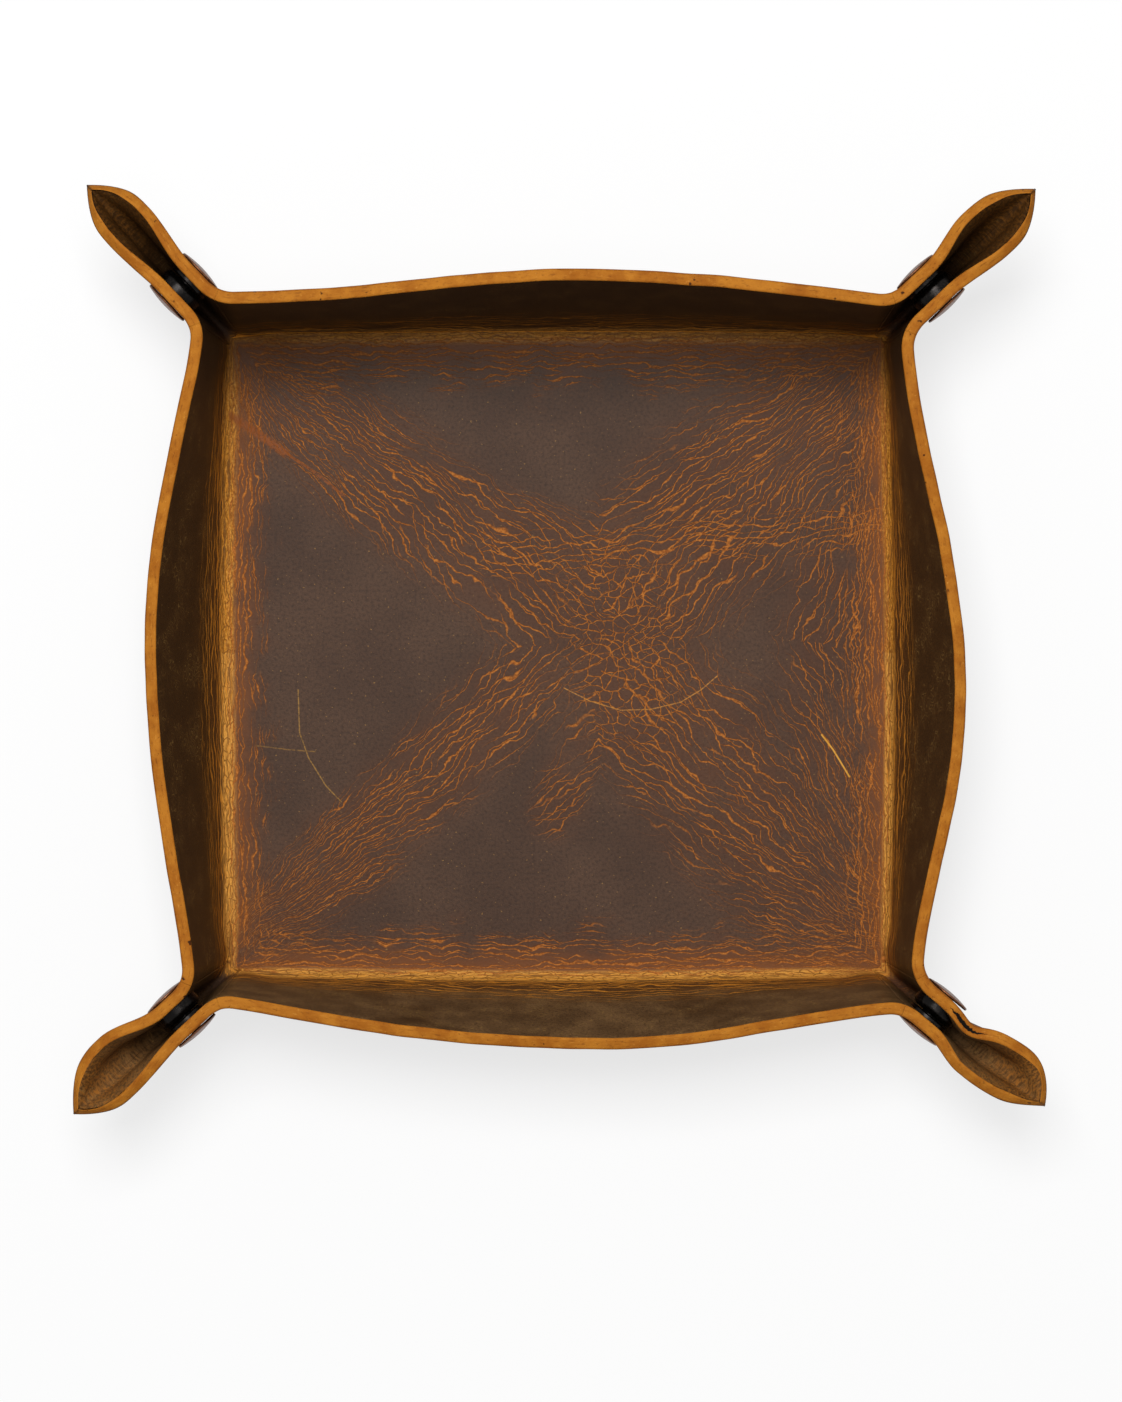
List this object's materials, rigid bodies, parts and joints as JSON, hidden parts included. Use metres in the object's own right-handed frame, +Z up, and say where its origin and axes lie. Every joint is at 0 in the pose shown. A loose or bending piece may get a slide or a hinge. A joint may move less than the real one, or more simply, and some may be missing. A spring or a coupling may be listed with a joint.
{
  "type": "accessory tray",
  "caption": "Square leather accessory tray with leaning walls and pinched corner ears held by press snaps; unsnapped, its walls and ears fold out nearly flat.",
  "frame": {"origin": "middle of the underside, on the surface it stands on", "axes": "+Z up, +Y towards the back wall at the top of the picture, +X to the right"},
  "size_m": [0.2368, 0.2272, 0.0455],
  "materials": {
    "hide": "dark brown waxed pull-up hide, satin, with raw tan cut edges and paler creases",
    "gunmetal": "dark gunmetal plating, glossy",
    "spring_steel": "drawn wire"
  },
  "bodies": {
    "base": {"leather_base": "hide"},
    "back_wall": {"back_wall": "hide"},
    "front_wall": {"front_wall": "hide"},
    "left_wall": {"left_wall": "hide"},
    "right_wall": {"right_wall": "hide"},
    "back_left_ear_post": {"back_left_ear_post_layer": "hide", "back_left_snap_stud": "gunmetal", "back_left_snap_post": "gunmetal"},
    "back_left_ear_cap": {"back_left_ear_cap_layer": "hide", "back_left_snap_cap": "gunmetal", "back_left_snap_socket": "gunmetal", "back_left_snap_spring": "spring_steel"},
    "back_right_ear_post": {"back_right_ear_post_layer": "hide", "back_right_snap_stud": "gunmetal", "back_right_snap_post": "gunmetal"},
    "back_right_ear_cap": {"back_right_ear_cap_layer": "hide", "back_right_snap_cap": "gunmetal", "back_right_snap_socket": "gunmetal", "back_right_snap_spring": "spring_steel"},
    "front_left_ear_post": {"front_left_ear_post_layer": "hide", "front_left_snap_stud": "gunmetal", "front_left_snap_post": "gunmetal"},
    "front_left_ear_cap": {"front_left_ear_cap_layer": "hide", "front_left_snap_cap": "gunmetal", "front_left_snap_socket": "gunmetal", "front_left_snap_spring": "spring_steel"},
    "front_right_ear_post": {"front_right_ear_post_layer": "hide", "front_right_snap_stud": "gunmetal", "front_right_snap_post": "gunmetal"},
    "front_right_ear_cap": {"front_right_ear_cap_layer": "hide", "front_right_snap_cap": "gunmetal", "front_right_snap_socket": "gunmetal", "front_right_snap_spring": "spring_steel"}
  },
  "joints": [
    {"name": "back_wall_fold", "type": "hinge", "parent": "base", "child": "back_wall", "pos_m": [0, 0.0831, 0.0014], "axis": [-1, 0, 0], "range_deg": [0, 65]},
    {"name": "front_wall_fold", "type": "hinge", "parent": "base", "child": "front_wall", "pos_m": [0, -0.0831, 0.0014], "axis": [1, 0, 0], "range_deg": [0, 65]},
    {"name": "left_wall_fold", "type": "hinge", "parent": "base", "child": "left_wall", "pos_m": [-0.0856, 0, 0.0014], "axis": [0, -1, 0], "range_deg": [0, 65]},
    {"name": "right_wall_fold", "type": "hinge", "parent": "base", "child": "right_wall", "pos_m": [0.0856, 0, 0.0014], "axis": [0, 1, 0], "range_deg": [0, 65]},
    {"name": "back_left_ear_post_fold", "type": "hinge", "parent": "back_wall", "child": "back_left_ear_post", "pos_m": [-0.08119, 0.08098, 0.0015], "axis": [-0.0441, 0.0975, 0.9943], "range_deg": [0, 31]},
    {"name": "back_left_ear_cap_fold", "type": "hinge", "parent": "left_wall", "child": "back_left_ear_cap", "pos_m": [-0.08335, 0.07856, 0.0015], "axis": [0.0728, -0.0255, -0.997], "range_deg": [0, 28]},
    {"name": "back_right_ear_post_fold", "type": "hinge", "parent": "back_wall", "child": "back_right_ear_post", "pos_m": [0.08106, 0.08085, 0.0015], "axis": [-0.0326, -0.0795, -0.9963], "range_deg": [0, 26]},
    {"name": "back_right_ear_cap_fold", "type": "hinge", "parent": "right_wall", "child": "back_right_ear_cap", "pos_m": [0.08347, 0.07869, 0.0015], "axis": [0.0296, -0.0206, 0.9993], "range_deg": [0, 28]},
    {"name": "front_left_ear_post_fold", "type": "hinge", "parent": "front_wall", "child": "front_left_ear_post", "pos_m": [-0.08104, -0.08084, 0.0015], "axis": [0.0361, 0.0818, -0.996], "range_deg": [0, 28]},
    {"name": "front_left_ear_cap_fold", "type": "hinge", "parent": "left_wall", "child": "front_left_ear_cap", "pos_m": [-0.08349, -0.07871, 0.0015], "axis": [-0.1198, -0.0638, 0.9907], "range_deg": [0, 33]},
    {"name": "front_right_ear_post_fold", "type": "hinge", "parent": "front_wall", "child": "front_right_ear_post", "pos_m": [0.08086, -0.08072, 0.0015], "axis": [0.0907, -0.1218, 0.9884], "range_deg": [0, 27]},
    {"name": "front_right_ear_cap_fold", "type": "hinge", "parent": "right_wall", "child": "front_right_ear_cap", "pos_m": [0.08362, -0.0788, 0.0015], "axis": [-0.0863, 0.0265, -0.9959], "range_deg": [0, 35]}
  ],
  "couplings": [
    {"joint": "front_wall_fold", "follows": "back_wall_fold", "ratio": 1},
    {"joint": "left_wall_fold", "follows": "back_wall_fold", "ratio": 1},
    {"joint": "right_wall_fold", "follows": "back_wall_fold", "ratio": 1},
    {"joint": "back_left_ear_post_fold", "follows": "back_wall_fold", "ratio": 0.472},
    {"joint": "back_left_ear_cap_fold", "follows": "back_wall_fold", "ratio": 0.416},
    {"joint": "back_right_ear_post_fold", "follows": "back_wall_fold", "ratio": 0.4},
    {"joint": "back_right_ear_cap_fold", "follows": "back_wall_fold", "ratio": 0.424},
    {"joint": "front_left_ear_post_fold", "follows": "back_wall_fold", "ratio": 0.428},
    {"joint": "front_left_ear_cap_fold", "follows": "back_wall_fold", "ratio": 0.504},
    {"joint": "front_right_ear_post_fold", "follows": "back_wall_fold", "ratio": 0.404},
    {"joint": "front_right_ear_cap_fold", "follows": "back_wall_fold", "ratio": 0.532}
  ]
}
